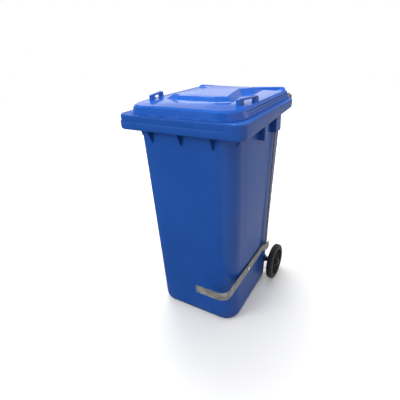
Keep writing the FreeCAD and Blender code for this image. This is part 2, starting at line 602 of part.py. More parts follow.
def make_lifting_rod():
    """A straight rod that leans outwards and to the rear, with an eye at its foot."""
    half, front = size_of("base_width") / 2, size_of("base_depth") / 2
    foot = point(half + size_of("rod_foot"), size_of("pedal_pivot") - front + size_of("rod_pin_back"),
                 size_of("pedal_level"))
    top = foot + point(size_of("rod_lean_out"), size_of("rod_lean_back"),
                       size_of("rim_top") - size_of("pedal_level") - size_of("rod_below"))
    radius = size_of("rod_radius")
    shaft = Part.makeCylinder(radius, (top - foot).Length, foot, top - foot)
    eye = Part.makeCylinder(radius + 4, 9, foot - point(4.5, 0, 0), point(1, 0, 0))
    bore = Part.makeCylinder(size_of("rod_pin_radius") + 0.05, 20, foot - point(10, 0, 0), point(1, 0, 0))
    rod = doc.addObject("Part::Feature", "lifting_rod")
    rod.Shape = shaft.fuse(eye).cut(bore).removeSplitter()
    node(rod, "push_rod")
    lean = (top - foot).normalize()
    cap = doc.addObject("Part::Feature", "rod_cap_shape")
    outer = Part.makeCylinder(radius + 2.5, 14, top - lean * 9, lean)
    outer = outer.makeFillet(2, [e for e in outer.Edges if e.BoundBox.ZMin > top.z + 3.9])
    cap.Shape = outer.cut(Part.makeCylinder(radius, 9, top - lean * 9, lean))
    node(cap, "rod_cap")


def make_rod_pin():
    """The pin that joins the rod's foot to the bar's tail, and its two retaining rings."""
    start, end = f"({ROD_FOOT_X} - 6.5)", f"({BAR_X} + bar_joggle + bar_thick + 3.5)"
    node(rod_x(start, ROD_FOOT_Y, "pedal_level", "rod_pin_radius", f"{end} - {start}"), "rod_pin")

    def ring(x, radius, thick):
        return cut(rod_x(x, ROD_FOOT_Y, "pedal_level", radius, thick),
                   rod_x(f"{x} - 1", ROD_FOOT_Y, "pedal_level", "rod_pin_radius", f"{thick} + 2"))

    outer = ring(f"{BAR_X} + bar_joggle + bar_thick + 0.6", "rod_pin_radius + 6", "1.5")
    inner = ring(f"{ROD_FOOT_X} - 6", "rod_pin_radius + 3", "1")
    node(group(outer, inner), "rod_pin_rings")


def make_lifting_lever():
    """A steel lever on the hinge line that lies on the rim under the lid."""
    x = f"({ROD_TOP_X} - lever_thick / 2)"
    low = "(rim_top + lever_gap)"
    arm = box(x, f"{ROD_TOP_Y} - 14", low, "lever_thick", f"{RIM_REAR} + 4 - ({ROD_TOP_Y} - 14)", "lever_tall")
    crank = doc.addObject("Part::Wedge", "crank")
    names = ("Xmin", "Xmax", "X2min", "X2max", "Zmin", "Zmax", "Z2min", "Z2max", "Ymin", "Ymax")
    values = (x, f"{x} + lever_thick", x, f"{x} + lever_thick", low, f"{low} + lever_tall",
              f"{HINGE_Z} - 8", f"{HINGE_Z} + 8", f"{RIM_REAR} + 4", HINGE_Y)
    bind(crank, **dict(zip(names, values)))
    eye = rod_x(x, HINGE_Y, HINGE_Z, "lug_radius - 5", "lever_thick")
    bore = rod_x(f"{x} - 1", HINGE_Y, HINGE_Z, "pin_radius + pin_play", "lever_thick + 2")
    node(cut(fuse(arm, crank, eye), bore), "lid_lifter")
    pad_y = f"({ROD_TOP_Y} - 10)"
    pad_top = f"({low} + lever_tall)"
    pad = cut(box(f"{x} - 2.5", pad_y, f"{pad_top} - 8", "lever_thick + 5", "36", "10.5"),
              box(x, f"{pad_y} - 1", f"{pad_top} - 9", "lever_thick", "38", "9"))
    node(pad, "lifter_pad")
    start = f"({OUTER_LUG} - 5)"
    end = f"({x} + lever_thick)"
    shank = rod_x(start, HINGE_Y, HINGE_Z, "pin_radius", f"{end} - {start} + 2")
    head = rod_x(f"{end} + 0.6", HINGE_Y, HINGE_Z, "pin_radius + pin_head", "pin_head_thick")
    node(fuse(shank, head), "lifter_bolt")


make_body_shell()
make_lid_shell()
make_hinge_pins()
make_axle_set()
make_wheel()
make_pedal_bar()
make_pivot_set()
make_lifting_rod()
make_rod_pin()
make_lifting_lever()
doc.recompute()

for thing in doc.Objects:
    if "Invalid" in thing.State or "Error" in thing.State:
        raise RuntimeError(f"{thing.Name} ({thing.Label}) failed: {thing.State}")
os.makedirs("parts", exist_ok=True)
for part in NODES:
    shape = part.Shape
    if shape.isNull() or not shape.isValid():
        raise RuntimeError(f"{part.Label} has no valid shape")
    if shape.Volume <= 0 or not shape.Solids:
        raise RuntimeError(f"{part.Label} is not solid")
for part in NODES:
    part.Shape.exportStep(os.path.join("parts", part.Label + ".step"))
    print(part.Label, len(part.Shape.Solids), round(part.Shape.Volume))
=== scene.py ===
import math

import bmesh
import bpy
from mathutils import Matrix, Vector


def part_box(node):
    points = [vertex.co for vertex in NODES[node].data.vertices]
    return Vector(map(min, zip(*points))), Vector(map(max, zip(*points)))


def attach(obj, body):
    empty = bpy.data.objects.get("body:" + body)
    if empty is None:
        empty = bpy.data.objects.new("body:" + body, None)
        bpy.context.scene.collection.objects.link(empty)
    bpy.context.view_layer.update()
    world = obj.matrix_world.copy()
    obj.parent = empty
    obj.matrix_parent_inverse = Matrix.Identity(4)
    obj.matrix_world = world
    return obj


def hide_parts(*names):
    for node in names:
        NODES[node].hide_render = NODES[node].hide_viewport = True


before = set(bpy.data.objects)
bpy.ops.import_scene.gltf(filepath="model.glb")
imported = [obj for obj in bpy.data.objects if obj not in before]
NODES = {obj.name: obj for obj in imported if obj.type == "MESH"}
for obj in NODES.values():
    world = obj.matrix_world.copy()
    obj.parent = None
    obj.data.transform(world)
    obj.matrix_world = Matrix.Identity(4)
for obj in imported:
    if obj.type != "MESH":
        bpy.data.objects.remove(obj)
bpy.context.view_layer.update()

bl_info = {
    "name": "Wheelie bin",
    "version": (1, 0, 0),
    "blender": (4, 5, 0),
    "location": "3D View > Sidebar > Wheelie bin",
    "description": "Builds a two-wheeled refuse bin with a pedal bar round its packed CAD frame",
    "category": "Add Mesh",
}

MM = 0.001


# ---------------------------------------------------------------- sizes and colours

class BinSizes(bpy.types.PropertyGroup):
    """Sizes of the moulded parts, in metres."""
    wall: bpy.props.FloatProperty(
        name="Wall", description="Thickness of the tub's wall", default=0.004, unit="LENGTH")
    lid_wall: bpy.props.FloatProperty(
        name="Lid wall", description="Thickness of the lid", default=0.0035, unit="LENGTH")
    steel_edge: bpy.props.FloatProperty(
        name="Steel edge", description="Round of the steel pieces' edges", default=0.0007, unit="LENGTH")
    ledge: bpy.props.FloatProperty(
        name="Rim ledge", description="How far the rim's lower band stands proud", default=0.006, unit="LENGTH")


class BinColours(bpy.types.PropertyGroup):
    """Colours of the bin's materials."""
    tub: bpy.props.FloatVectorProperty(
        name="Tub", description="Colour of the tub's plastic", subtype="COLOR", size=4,
        default=(0.009, 0.077, 0.360, 1.0))
    lid: bpy.props.FloatVectorProperty(
        name="Lid", description="Colour of the lid's plastic", subtype="COLOR", size=4,
        default=(0.010, 0.090, 0.430, 1.0))
    steel: bpy.props.FloatVectorProperty(
        name="Galvanised steel", description="Colour of the galvanised pieces", subtype="COLOR", size=4,
        default=(0.27, 0.265, 0.255, 1.0))
    bright: bpy.props.FloatVectorProperty(
        name="Bright steel", description="Colour of the plated fasteners", subtype="COLOR", size=4,
        default=(0.66, 0.66, 0.65, 1.0))
    rubber: bpy.props.FloatVectorProperty(
        name="Rubber", description="Colour of the tyres", subtype="COLOR", size=4,
        default=(0.012, 0.012, 0.013, 1.0))
    black: bpy.props.FloatVectorProperty(
        name="Black plastic", description="Colour of the wheels and sleeves", subtype="COLOR", size=4,
        default=(0.014, 0.014, 0.016, 1.0))
    floor: bpy.props.FloatVectorProperty(
        name="Floor", description="Colour of the floor", subtype="COLOR", size=4,
        default=(0.86, 0.86, 0.86, 1.0))


def sizes():
    return bpy.context.scene.bin_sizes


def colours():
    return bpy.context.scene.bin_colours


# ---------------------------------------------------------------- shader groups

class Tree:
    """Short calls for placing and joining shader nodes."""

    def __init__(self, tree):
        self.tree = tree

    def add(self, kind, **settings):
        made = self.tree.nodes.new(kind)
        inputs = settings.pop("inputs", {})
        for name, value in settings.items():
            setattr(made, name, value)
        for name, value in inputs.items():
            if isinstance(value, bpy.types.NodeSocket):
                self.tree.links.new(value, made.inputs[name])
            else:
                made.inputs[name].default_value = value
        return made

    def maths(self, operation, a, b, clamp=False):
        made = self.add("ShaderNodeMath", operation=operation, use_clamp=clamp, inputs={0: a, 1: b})
        return made.outputs[0]

    def ramp(self, value, low, high, low_out=0.0, high_out=1.0):
        made = self.add("ShaderNodeMapRange", interpolation_type="SMOOTHSTEP", inputs={
            "Value": value, "From Min": low, "From Max": high, "To Min": low_out, "To Max": high_out})
        return made.outputs["Result"]

    def mix(self, share, a, b):
        made = self.add("ShaderNodeMix", data_type="RGBA")
        for index, value in ((0, share), (6, a), (7, b)):
            if isinstance(value, bpy.types.NodeSocket):
                self.tree.links.new(value, made.inputs[index])
            else:
                made.inputs[index].default_value = value
        return made.outputs[2]

    def noise(self, vector, scale, detail=3.0, roughness=0.55):
        made = self.add("ShaderNodeTexNoise", inputs={
            "Vector": vector, "Scale": scale, "Detail": detail, "Roughness": roughness})
        return made.outputs["Fac"]


def shader_group(name, inputs, outputs, build):
    """A node group with named inputs (name, default) and outputs, made once."""
    if name in bpy.data.node_groups:
        return bpy.data.node_groups[name]
    group = bpy.data.node_groups.new(name, "ShaderNodeTree")
    for label, value in inputs:
        kind = "NodeSocketColor" if isinstance(value, tuple) else "NodeSocketFloat"
        socket = group.interface.new_socket(name=label, in_out="INPUT", socket_type=kind)
        socket.default_value = value
    for label, kind in outputs:
        group.interface.new_socket(name=label, in_out="OUTPUT", socket_type=kind)
    tree = Tree(group)
    source = tree.add("NodeGroupInput")
    sink = tree.add("NodeGroupOutput")
    for label, socket in build(tree, source.outputs).items():
        group.links.new(socket, sink.inputs[label])
    return group


def grain_group():
    """Fine moulded texture: a height, and a slow drift of tone."""
    def build(tree, given):
        place = tree.add("ShaderNodeTexCoord").outputs["Object"]
        fine = tree.noise(place, given["Scale"], 2.0, 0.6)
        peel = tree.noise(place, tree.maths("MULTIPLY", given["Scale"], 0.16), 1.0)
        height = tree.maths("ADD", tree.maths("MULTIPLY", fine, 0.55), tree.maths("MULTIPLY", peel, 0.45))
        drift = tree.ramp(tree.noise(place, 3.2, 3.0), 0.3, 0.7)
        speck = tree.ramp(tree.noise(place, tree.maths("MULTIPLY", given["Scale"], 0.5), 2.0), 0.35, 0.65)
        return {"Height": height, "Drift": drift, "Speck": speck}
    return shader_group("Moulded grain", [("Scale", 900.0)],
                        [("Height", "NodeSocketFloat"), ("Drift", "NodeSocketFloat"),
                         ("Speck", "NodeSocketFloat")], build)


def wear_and_highlight_group():
    """Rubbed edges, fine scratches and dust that settles low down, each as a mask; the lid also uses the edge
    mask for a painted highlight along its creases.
    """
    def build(tree, given):
        place = tree.add("ShaderNodeTexCoord").outputs["Object"]
        pointed = tree.add("ShaderNodeNewGeometry").outputs["Pointiness"]
        patchy = tree.ramp(tree.noise(place, 34.0, 4.0), 0.40, 0.68)
        edges = tree.maths("MULTIPLY", tree.ramp(pointed, 0.52, 0.62), patchy)
        edges = tree.maths("MULTIPLY", edges, given["Edges"], clamp=True)
        turned = tree.add("ShaderNodeMapping", inputs={"Vector": place})
        turned.inputs["Rotation"].default_value = (0.35, 0.5, 0.2)
        turned.inputs["Scale"].default_value = (5.0, 5.0, 160.0)
        lines = tree.ramp(tree.noise(turned.outputs[0], 2.2, 3.0, 0.6), 0.66, 0.74)
        where = tree.ramp(tree.noise(place, 4.5, 2.0), 0.45, 0.65)
        scratches = tree.maths("MULTIPLY", tree.maths("MULTIPLY", lines, where), given["Scratches"], clamp=True)
        height = tree.add("ShaderNodeSeparateXYZ", inputs={0: place}).outputs["Z"]
        low = tree.ramp(height, given["Dust height"], 0.0)
        dust = tree.maths("MULTIPLY", low, tree.ramp(tree.noise(place, 16.0, 5.0, 0.65), 0.3, 0.75))
        dust = tree.maths("MULTIPLY", dust, given["Dust"], clamp=True)
        return {"Edges": edges, "Scratches": scratches, "Dust": dust}
    return shader_group("Wear and highlight", [("Edges", 0.5), ("Scratches", 0.5), ("Dust", 0.4), ("Dust height", 0.16)],
                        [("Edges", "NodeSocketFloat"), ("Scratches", "NodeSocketFloat"),
                         ("Dust", "NodeSocketFloat")], build)


def use_group(tree, group, **values):
    made = tree.add("ShaderNodeGroup", node_tree=group)
    for name, value in values.items():
        made.inputs[name.replace("_", " ")].default_value = value
    return made.outputs


def new_material(name):
    material = bpy.data.materials.new(name)
    material.use_nodes = True
    tree = Tree(material.node_tree)
    shader = material.node_tree.nodes["Principled BSDF"]
    return material, tree, shader


def shade(tree, shader, colour=None, roughness=None, metallic=None, height=None, strength=0.1, distance=0.0005):
    for name, value in (("Base Color", colour), ("Roughness", roughness), ("Metallic", metallic)):
        if isinstance(value, bpy.types.NodeSocket):
            tree.tree.links.new(value, shader.inputs[name])
        elif value is not None:
            shader.inputs[name].default_value = value
    if height is not None:
        bump = tree.add("ShaderNodeBump", inputs={"Strength": strength, "Distance": distance, "Height": height})
        tree.tree.links.new(bump.outputs[0], shader.inputs["Normal"])


def tinted(colour, factor, lift=0.0):
    return tuple(min(1.0, c * factor + lift) for c in colour[:3]) + (1.0,)


def moulded_plastic(name, colour, gloss, grain, strength, edges=0.35, scratches=0.5, dust=0.2, crease=0.05):
    """Moulded plastic: fine grain, slow drift of tone, pale edges, scratches and dust. The pale edges are
    rubbed wear, and the crease lift whitens them into a painted highlight along the lid's creases.
    """
    if name in bpy.data.materials:
        return bpy.data.materials[name]
    material, tree, shader = new_material(name)
    texture = use_group(tree, grain_group(), Scale=grain)
    wear = use_group(tree, wear_and_highlight_group(), Edges=edges, Scratches=scratches, Dust=dust)
    base = tree.mix(texture["Drift"], tinted(colour, 0.93), tinted(colour, 1.08))
    base = tree.mix(tree.maths("MULTIPLY", texture["Speck"], 0.16), base, tinted(colour, 1.5, 0.001))
    # pale edges: rubbed wear, whitened by the crease lift into a painted highlight, strongest on the lid's
    # creases
    base = tree.mix(wear["Edges"], base, tinted(colour, 1.3, crease))
    base = tree.mix(tree.maths("MULTIPLY", wear["Scratches"], 0.30), base, tinted(colour, 1.3, 0.025))
    base = tree.mix(wear["Dust"], base, (0.16, 0.17, 0.20, 1.0))
    rough = tree.ramp(texture["Drift"], 0.0, 1.0, gloss - 0.03, gloss + 0.04)
    rough = tree.maths("ADD", rough, tree.maths("MULTIPLY", wear["Scratches"], 0.18))
    rough = tree.maths("ADD", rough, tree.maths("MULTIPLY", wear["Dust"], 0.35), clamp=True)
    shade(tree, shader, base, rough, 0.0, texture["Height"], strength, 0.0006)
    shader.inputs["IOR"].default_value = 1.5
    return material


def galvanised_steel():
    """Zinc-dipped steel: soft mottled spangle, dull, with darker handling marks."""
    name = "galvanised steel"
    if name in bpy.data.materials:
        return bpy.data.materials[name]
    material, tree, shader = new_material(name)
    colour = tuple(colours().steel)
    place = tree.add("ShaderNodeTexCoord").outputs["Object"]
    wear = use_group(tree, wear_and_highlight_group(), Edges=0.8, Scratches=0.9, Dust=0.15)
    cells = tree.add("ShaderNodeTexVoronoi", inputs={"Vector": place, "Scale": 150.0}).outputs["Color"]
    tone = tree.add("ShaderNodeSeparateColor", inputs={0: cells}).outputs[0]
    base = tree.mix(tone, tinted(colour, 0.93), tinted(colour, 1.07))
    base = tree.mix(tree.ramp(tree.noise(place, 22.0, 4.0), 0.5, 0.75), base, tinted(colour, 0.92))
    base = tree.mix(wear["Edges"], base, tinted(colour, 1.9))
    base = tree.mix(tree.maths("MULTIPLY", wear["Scratches"], 0.3), base, tinted(colour, 1.4))
    rough = tree.ramp(tone, 0.0, 1.0, 0.40, 0.56)
    shade(tree, shader, base, rough, 0.35, tree.noise(place, 700.0, 3.0), 0.12, 0.0005)
    return material


def bright_steel():
    """Plated fasteners: bright, with fine turning marks and a little tarnish."""
    name = "bright steel"
    if name in bpy.data.materials:
        return bpy.data.materials[name]
    material, tree, shader = new_material(name)
    colour = tuple(colours().bright)
    place = tree.add("ShaderNodeTexCoord").outputs["Object"]
    stain = tree.ramp(tree.noise(place, 60.0, 4.0), 0.45, 0.75)
    base = tree.mix(stain, colour, tinted(colour, 0.62))
    rough = tree.ramp(stain, 0.0, 1.0, 0.22, 0.42)
    shade(tree, shader, base, rough, 1.0, tree.noise(place, 1500.0, 2.0), 0.08, 0.0003)
    return material


def tyre_rubber():
    """Solid rubber: matt black, with greyer scuffed patches."""
    name = "tyre rubber"
    if name in bpy.data.materials:
        return bpy.data.materials[name]
    material, tree, shader = new_material(name)
    colour = tuple(colours().rubber)
    place = tree.add("ShaderNodeTexCoord").outputs["Object"]
    texture = use_group(tree, grain_group(), Scale=1400.0)
    scuff = tree.ramp(tree.noise(place, 42.0, 5.0, 0.65), 0.42, 0.72)
    base = tree.mix(texture["Drift"], tinted(colour, 0.85), tinted(colour, 1.3))
    base = tree.mix(tree.maths("MULTIPLY", scuff, 0.35), base, (0.060, 0.058, 0.055, 1.0))
    rough = tree.ramp(scuff, 0.0, 1.0, 0.52, 0.74)
    shade(tree, shader, base, rough, 0.0, texture["Height"], 0.25, 0.0006)
    return material


def tub_plastic():
    return moulded_plastic("tub plastic", tuple(colours().tub), 0.36, 1100.0, 0.16)


def lid_plastic():
    # crease=0.22 paints a highlight along the lid's creases
    return moulded_plastic("lid plastic", tuple(colours().lid), 0.13, 700.0, 0.05, edges=0.3, dust=0.0,
                           crease=0.22)


def black_plastic():
    return moulded_plastic("black plastic", tuple(colours().black), 0.42, 1300.0, 0.18, edges=0.15,
                           scratches=0.3)


# ---------------------------------------------------------------- mesh tools

def finish_mesh(bm, crease=math.radians(32)):
    """Smooth faces, with the sharp folds kept sharp."""
    bmesh.ops.recalc_face_normals(bm, faces=bm.faces)
    for face in bm.faces:
        face.smooth = True
    for edge in bm.edges:
        edge.smooth = not (edge.is_manifold and edge.calc_face_angle(0.0) > crease)


def piece(name, bm, body, material, replaced):
    """A finished object made from bm that rides on a body and stands for CAD nodes."""
    finish_mesh(bm)
    mesh = bpy.data.meshes.new(name)
    bm.to_mesh(mesh)
    bm.free()
    made = bpy.data.objects.new(name, mesh)
    bpy.context.scene.collection.objects.link(made)
    mesh.materials.append(material)
    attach(made, body)
    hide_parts(*replaced)
    return made


def merge(target, source):
    """Adds the mesh of source to target and frees it."""
    mesh = bpy.data.meshes.new("merge")
    source.to_mesh(mesh)
    source.free()
    target.from_mesh(mesh)
    bpy.data.meshes.remove(mesh)
    return target


def round_edges(bm, width, segments=2, angle=math.radians(28)):
    """Rounds the edges that fold by more than angle."""
    bmesh.ops.recalc_face_normals(bm, faces=bm.faces)
    folds = [e for e in bm.edges if e.is_manifold and e.calc_face_angle(0.0) > angle]
    bmesh.ops.bevel(bm, geom=folds, offset=width, segments=segments, profile=0.6, affect="EDGES",
                    clamp_overlap=True)
    return bm


def slab(outline, low, high, axis, edge):
    """A plate: an outline of pairs drawn out from low to high along an axis, with rounded edges."""
    bm = bmesh.new()
    rings = []
    for level in (low, high):
        ring = []
        for a, b in outline:
            place = [a, b]
            place.insert(axis, level)
            ring.append(bm.verts.new([v * MM for v in place]))
        rings.append(ring)
    bm.faces.new(rings[0])
    bm.faces.new(rings[1][::-1])
    count = len(outline)
    for n in range(count):
        m = (n + 1) % count
        bm.faces.new((rings[0][n], rings[1][n], rings[1][m], rings[0][m]))
    return round_edges(bm, edge)


def lathe(profile, y, z, steps):
    """A turned ring about a line along X at (y, z): profile is a closed loop of x and radius."""
    bm = bmesh.new()
    rings = []
    for x, radius in profile:
        rings.append([bm.verts.new((x * MM, (y + radius * math.cos(a)) * MM, (z + radius * math.sin(a)) * MM))
                      for a in (math.tau * n / steps for n in range(steps))])
    for one, two in zip(rings, rings[1:] + rings[:1]):
        for n in range(steps):
            m = (n + 1) % steps
            bm.faces.new((one[n], one[m], two[m], two[n]))
    return bm


def mirror_x(bm):
    """Turns bm into its mirror image across the middle plane."""
    bmesh.ops.scale(bm, vec=(-1, 1, 1), verts=bm.verts)
    bmesh.ops.reverse_faces(bm, faces=bm.faces)
    return bm


def between(a, b, share):
    return a + (b - a) * share


def smooth_step(low, high, value):
    share = min(1.0, max(0.0, (value - low) / (high - low)))
    return share * share * (3 - 2 * share)


def rounded(half, front, rear, front_round, rear_round, side_steps, flat=10, turn=8):
    """A rounded rectangle as pairs, starting at the left end of the front and going to the right.
    side_steps are heights along a side's straight run, as shares from 0 to 1."""
    points = []
    for n in range(flat + 1):
        points.append((between(-half + front_round, half - front_round, n / flat), -front))
    quarter = [math.pi / 2 * n / turn for n in range(1, turn)]
    points += [(half - front_round + front_round * math.sin(a),
                -front + front_round - front_round * math.cos(a)) for a in quarter]
    low, high = -front + front_round, rear - rear_round
    points += [(half, between(low, high, s)) for s in side_steps]
    points += [(half - rear_round + rear_round * math.cos(a), rear - rear_round + rear_round * math.sin(a))
               for a in quarter]
    for n in range(flat + 1):
        points.append((between(half - rear_round, -half + rear_round, n / flat), rear))
    points += [(-half + rear_round - rear_round * math.sin(a), rear - rear_round + rear_round * math.cos(a))
               for a in quarter]
    points += [(-half, between(low, high, s)) for s in reversed(side_steps)]
    points += [(-half + front_round - front_round * math.cos(a),
                -front + front_round - front_round * math.sin(a)) for a in quarter]
    return points


def skin(rings, close_first=True):
    """Quads between rings of equal count, closed at the last ring and, where wanted, at the first."""
    bm = bmesh.new()
    made = [[bm.verts.new((x * MM, y * MM, z * MM)) for x, y, z in ring] for ring in rings]
    count = len(made[0])
    for one, two in zip(made, made[1:]):
        for n in range(count):
            m = (n + 1) % count
            bm.faces.new((one[n], one[m], two[m], two[n]))
    if close_first:
        bm.faces.new(made[0])
    bm.faces.new(made[-1])
    return bm


# ---------------------------------------------------------------- tub

BASE_HALF, BASE_DEEP, RIM_TOP = 217.0, 215.0, 1010.0
SIDE_FLARE, FRONT_FLARE, REAR_FLARE = 18.0, 4.0, 129.0
FRONT_CORNER, REAR_CORNER = 78.0, 45.0
RIM_HALF, RIM_FRONT, RIM_REAR = 290.0, 260.0, 352.0
RIM_LOW, RIM_RISE = 950.0, 26.0
HINGE_Y, HINGE_Z = 400.0, 1003.0
AXLE_Y, WHEEL_RADIUS = 240.0, 100.0

# where the raised side panel ends towards the rear, as pairs of height and y
PANEL_REAR = ((285, 90), (320, 94), (341, 104), (461, 112), (538, 132), (687, 173), (787, 184),
              (869, 195), (950, 203), (1010, 208))
PANEL_PROUD = 4.0
FOOT_ROUND = 40.0
NEAR = 0.01
RIM_FRONT_CORNER, RIM_REAR_CORNER = 40.0, 72.0
# where the rim's ledge runs out: x near the front's right end, y past the left corner,
# and the x limits over which it turns round the left corner
LEDGE_END, LEDGE_BACK = (236, 247), (-222, -212)
LEDGE_TURN_X, LEDGE_TURN_Y = (-250, -289), (-258, -284)
# ribs, pillars, lugs and grips, by their x or y limits on the right side
GUSSET_X = (-145, 0, 145)
WEB_Y = -176
PILLAR_DEPTH, PILLAR_LOW = 30, 882
FRONT_PILLAR, REAR_PILLAR = (13, 53), (158, 222)
HINGE_LUGS = ((52, 60), (100, 108), (234, 242))
LUG_DROP, LUG_RADIUS = 42, 18
GRIP_SPAN, GRIP_BORE = (107, 235), 9.5
AXLE_LUGS = ((185, 205), (60, 80))
AXLE_LUG_RADIUS, AXLE_LUG_LOW, AXLE_LUG_HIGH = 22, 78, 142


def along(pairs, value):
    """The second number of the pairs at a value of the first, on straight runs."""
    if value <= pairs[0][0]:
        return pairs[0][1]
    for (a, b), (c, d) in zip(pairs, pairs[1:]):
        if value <= c:
            return between(b, d, (value - a) / (c - a))
    return pairs[-1][1]


def wall_half(level):
    return BASE_HALF + SIDE_FLARE * level / RIM_TOP


def tub_ring(level, inset, panel=0.0):
    """The tub's outline at a height, drawn in by inset; panel is how far the side panels stand out."""
    share = level / RIM_TOP
    half = wall_half(level) - inset
    front = BASE_DEEP + FRONT_FLARE * share - inset
    rear = BASE_DEEP + REAR_FLARE * share - inset
    low, high = -front + FRONT_CORNER - inset, rear - REAR_CORNER + inset
    edge = along(PANEL_REAR, level)
    stops = [low, low + 12, low + 30, low + 60, between(low, edge, 0.45), between(low, edge, 0.7),
             edge - 9, edge - 3.2, edge - 1.6, edge, edge + 4, between(edge, high, 0.5), high]
    steps = [(y - low) / (high - low) for y in stops]
    ring = rounded(half, front, rear, FRONT_CORNER - inset, REAR_CORNER - inset, steps)
    shaped = []
    for x, y in ring:
        shift = 0.0
        if abs(x) > half - NEAR and low - NEAR <= y <= high + NEAR:
            shift = panel * smooth_step(low, low + 60, y) * (1 - smooth_step(edge - 3.3, edge - 0.1, y))
        shaped.append((x + math.copysign(shift, x), y, level))
    return shaped


def rim_ring(level, inset, drop=0.0, step=0.0):
    """The rim's outline: level at the front, raised towards the rear by the share drop of the rim's rise.
    step draws the front edge in, between the corners, to leave the ledge of the lower band."""
    shares = [n / 12 for n in range(13)]
    ring = rounded(RIM_HALF - inset, RIM_FRONT - inset, RIM_REAR - inset,
                   RIM_FRONT_CORNER - inset, RIM_REAR_CORNER - inset, shares)
    made = []
    for x, y in ring:
        shift = step * (1 - smooth_step(*LEDGE_END, x)) * (1 - smooth_step(*LEDGE_BACK, y))
        lean = max(0.0, y + BASE_DEEP) / (RIM_REAR + BASE_DEEP)
        if y < -RIM_FRONT + RIM_FRONT_CORNER:
            x += shift * (smooth_step(*LEDGE_TURN_X, x))
        made.append((x, y + shift * (1 - smooth_step(*LEDGE_TURN_Y, x)), level + RIM_RISE * drop * lean))
    return made


def foot_rings(radius, inset, floor):
    """The rounded foot of the tub, from the floor up."""
    rings = []
    for n in range(9):
        angle = math.pi / 2 * n / 8
        rings.append(tub_ring(floor + radius * (1 - math.cos(angle)), inset + radius * (1 - math.sin(angle))))
    return rings


def tub_rings():
    wall, ledge = sizes().wall / MM, sizes().ledge / MM
    rings = foot_rings(FOOT_ROUND - wall, wall, 5.0)
    rings += [tub_ring(level, wall) for level in (60, 150, 278)]
    rings += [tub_ring(level, wall, PANEL_PROUD) for level in (292, 450, 640, 820, 960)]
    rings += [tub_ring(1006.0, wall), tub_ring(1009.0, wall - 1.2), tub_ring(1010.0, wall - 3.5)]
    rings += [rim_ring(1010.0, 16.0), rim_ring(1010.0, 4.6, step=ledge), rim_ring(1009.4, 2.0, step=ledge),
              rim_ring(1007.8, 0.5, step=ledge), rim_ring(1005.5, 0.0, step=ledge)]
    rings += [rim_ring(990.0, 0.0, 0.45, ledge), rim_ring(984.8, 0.0, 0.5, ledge),
              rim_ring(983.8, 0.0, 0.52, ledge * 0.85), rim_ring(982.6, 0.0, 0.54, ledge * 0.2),
              rim_ring(979.0, 0.0, 0.56, 0.0)]
    rings += [rim_ring(RIM_LOW + rise, inset, 1.0)
              for rise, inset in ((7, 0.4), (3.4, 1.2), (1.0, 2.6), (0, 4.4), (0, 5.4), (1.0, 6.0))]
    rings += [rim_ring(975.0, 4.6, 0.5), rim_ring(1004.0, 4.2), rim_ring(1006.0, 6.0)]
    rings += [tub_ring(1006.0, -6.0, PANEL_PROUD), tub_ring(1003.0, 0.0, PANEL_PROUD)]
    side_levels = (980, 950, 910, 867, 820, 785, 735, 684, 630, 580, 532, 490,
                   453, 410, 370, 331, 318, 309, 298, 289)
    rings += [tub_ring(level, 0.0, PANEL_PROUD) for level in side_levels]
    rings += [tub_ring(287.0, 0.0, PANEL_PROUD * 0.96), tub_ring(286.0, 0.0, PANEL_PROUD * 0.6),
              tub_ring(284.6, 0.0, PANEL_PROUD * 0.08), tub_ring(282.0, 0.0)]
    rings += [tub_ring(level, 0.0) for level in (250, 200, 140, 80, 52)]
    return rings + foot_rings(FOOT_ROUND, 0.0, 0.0)[::-1]


def gusset(x, drop=57.0, lead=38.0):
    """A triangular rib between the front wall and the apron."""
    wall = -(BASE_DEEP + FRONT_FLARE * 0.94) + 3
    outline = [(wall, RIM_LOW - drop), (wall, RIM_TOP - 5), (wall - lead, RIM_TOP - 5),
               (wall - lead, RIM_LOW + 6), (wall - 5, RIM_LOW - drop)]
    return slab(outline, x - 2.2, x + 2.2, 0, 0.0007)


def side_web(y, drop=44.0, lead=30.0):
    """A curved rib between the side wall and the apron, near a front corner."""
    wall = wall_half(RIM_LOW) - 3
    outline = [(wall, RIM_TOP - 5), (wall, RIM_LOW - drop)]
    for n in range(8):
        share = n / 7
        outline.append((wall + 4 + (lead - 4) * share ** 1.8, RIM_LOW - drop + (drop + 8) * share))
    outline.append((wall + lead, RIM_TOP - 5))
    return slab(outline, y, y + 4.4, 1, 0.0007)


def pillar(front, rear, depth, low, open_rear):
    """A hollow moulded pillar on the side wall, under the rim: two cheeks and a face."""
    wall = wall_half(900) - 3
    face = wall_half(900) + depth
    bm = slab([(face - 4, front), (face, front), (face, rear), (face - 4, rear)], low, RIM_TOP - 5, 2, 0.0011)
    cheeks = [front] if open_rear else [front, rear - 4]
    for y in cheeks:
        merge(bm, slab([(wall, y), (face - 0.4, y), (face - 0.4, y + 4), (wall, y + 4)],
                       low + 0.4, RIM_TOP - 5, 2, 0.0009))
    if open_rear:
        merge(bm, slab([(wall, rear - 22), (face - 0.4, rear - 22), (face - 0.4, rear - 18), (wall, rear - 18)],
                       low + 40, RIM_TOP - 5, 2, 0.0009))
    return bm


def lug(low, high):
    """A hinge lug behind the rim with a round nose."""
    foot = BASE_DEEP + REAR_FLARE * 0.8
    outline = [(foot, HINGE_Z), (foot, HINGE_Z - LUG_DROP), (RIM_REAR - 1, HINGE_Z - LUG_DROP)]
    for n in range(13):
        angle = math.radians(-62 + 152 * n / 12)
        outline.append((HINGE_Y + LUG_RADIUS * math.cos(angle), HINGE_Z + LUG_RADIUS * math.sin(angle)))
    outline += [(RIM_REAR - 1, HINGE_Z + 6)]
    return slab(outline, low, high, 0, 0.0012)


